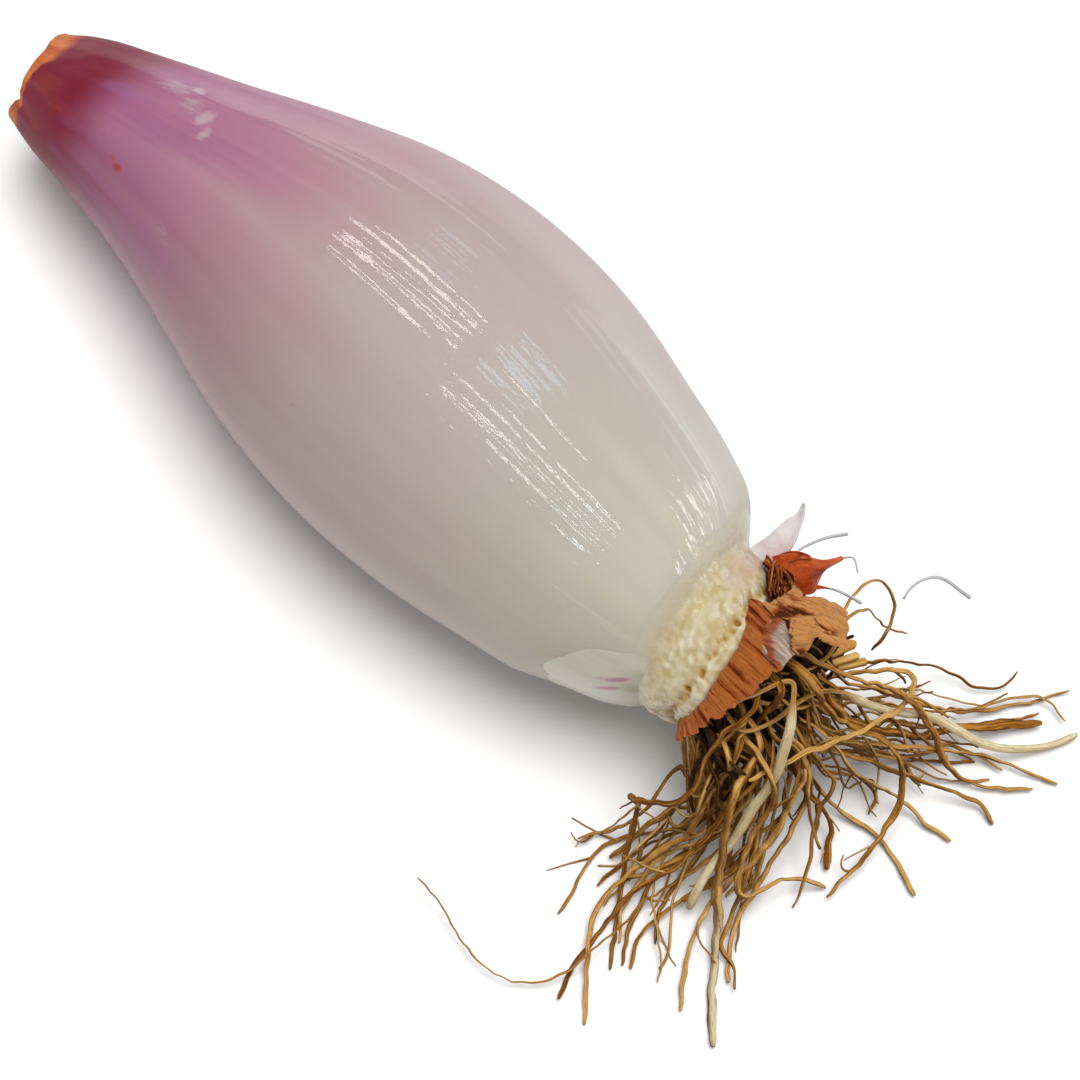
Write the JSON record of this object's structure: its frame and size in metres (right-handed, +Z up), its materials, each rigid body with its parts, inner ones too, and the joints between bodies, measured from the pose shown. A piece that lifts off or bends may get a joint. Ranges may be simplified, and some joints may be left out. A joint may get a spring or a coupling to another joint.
{
  "type": "pink shallot",
  "caption": "Peeled elongated pink shallot lying on its side, with a dried neck, a pale root collar with torn skins, and a spreading fan of dry brown roots.",
  "frame": {"origin": "middle of the small flat under the belly that the bulb rests on", "axes": "+X along the bulb from the neck to the roots, +Z up from the surface it lies on"},
  "size_m": [0.1284, 0.0634, 0.0386],
  "materials": {
    "bulb_skin": "moist glossy inner scale, maroon-streaked at the neck fading to cream at the root end",
    "collar_flesh": "matt cream flesh with small bumps and yellow-brown pits",
    "scale_remnant": "thin satin blush scale with purple veins",
    "skin_orange": "dry papery orange-brown skin with fine ribs",
    "skin_ochre": "dry papery ochre skin with dark specks",
    "skin_pale": "thin pale translucent skin",
    "skin_rust": "dry deep orange skin",
    "root_brown": "dry wrinkled tan-brown root",
    "root_cream": "thick cream root with fine grooves",
    "rootlet_grey": "thin pale grey filament"
  },
  "bodies": {
    "root": {"bulb": "bulb_skin", "outer_scale_remnant": "scale_remnant", "basal_plate": "collar_flesh", "skin_band": "skin_orange", "skin_flap": "skin_ochre", "skin_flap_pale": "skin_pale", "fibre_tuft": "skin_rust", "skin_spike": "skin_rust", "scale_tip": "scale_remnant", "skin_shred": "skin_orange", "rootlet_1": "rootlet_grey", "rootlet_2": "rootlet_grey", "rootlet_3": "rootlet_grey", "root_01": "root_brown", "root_02": "root_brown", "root_03": "root_brown", "root_04": "root_brown", "root_05": "root_brown", "root_06": "root_brown", "root_07": "root_brown", "root_08": "root_brown", "root_09": "root_brown", "root_10": "root_brown", "root_11": "root_brown", "root_12": "root_brown", "root_13": "root_brown", "root_14": "root_brown", "root_15": "root_brown", "root_16": "root_brown", "root_17": "root_brown", "root_18": "root_brown", "root_19": "root_brown", "root_20": "root_brown", "root_21": "root_brown", "root_22": "root_brown", "root_23": "root_brown", "root_24": "root_brown", "root_25": "root_brown", "root_26": "root_brown", "root_27": "root_brown", "root_28": "root_brown", "root_29": "root_brown", "root_30": "root_brown", "root_31": "root_brown", "root_32": "root_brown", "root_33": "root_brown", "root_34": "root_brown", "root_35": "root_brown", "root_36": "root_brown", "root_37": "root_brown", "root_38": "root_brown", "root_39": "root_brown", "root_40": "root_brown", "root_41": "root_brown", "root_42": "root_cream", "root_43": "root_cream"}
  },
  "joints": []
}
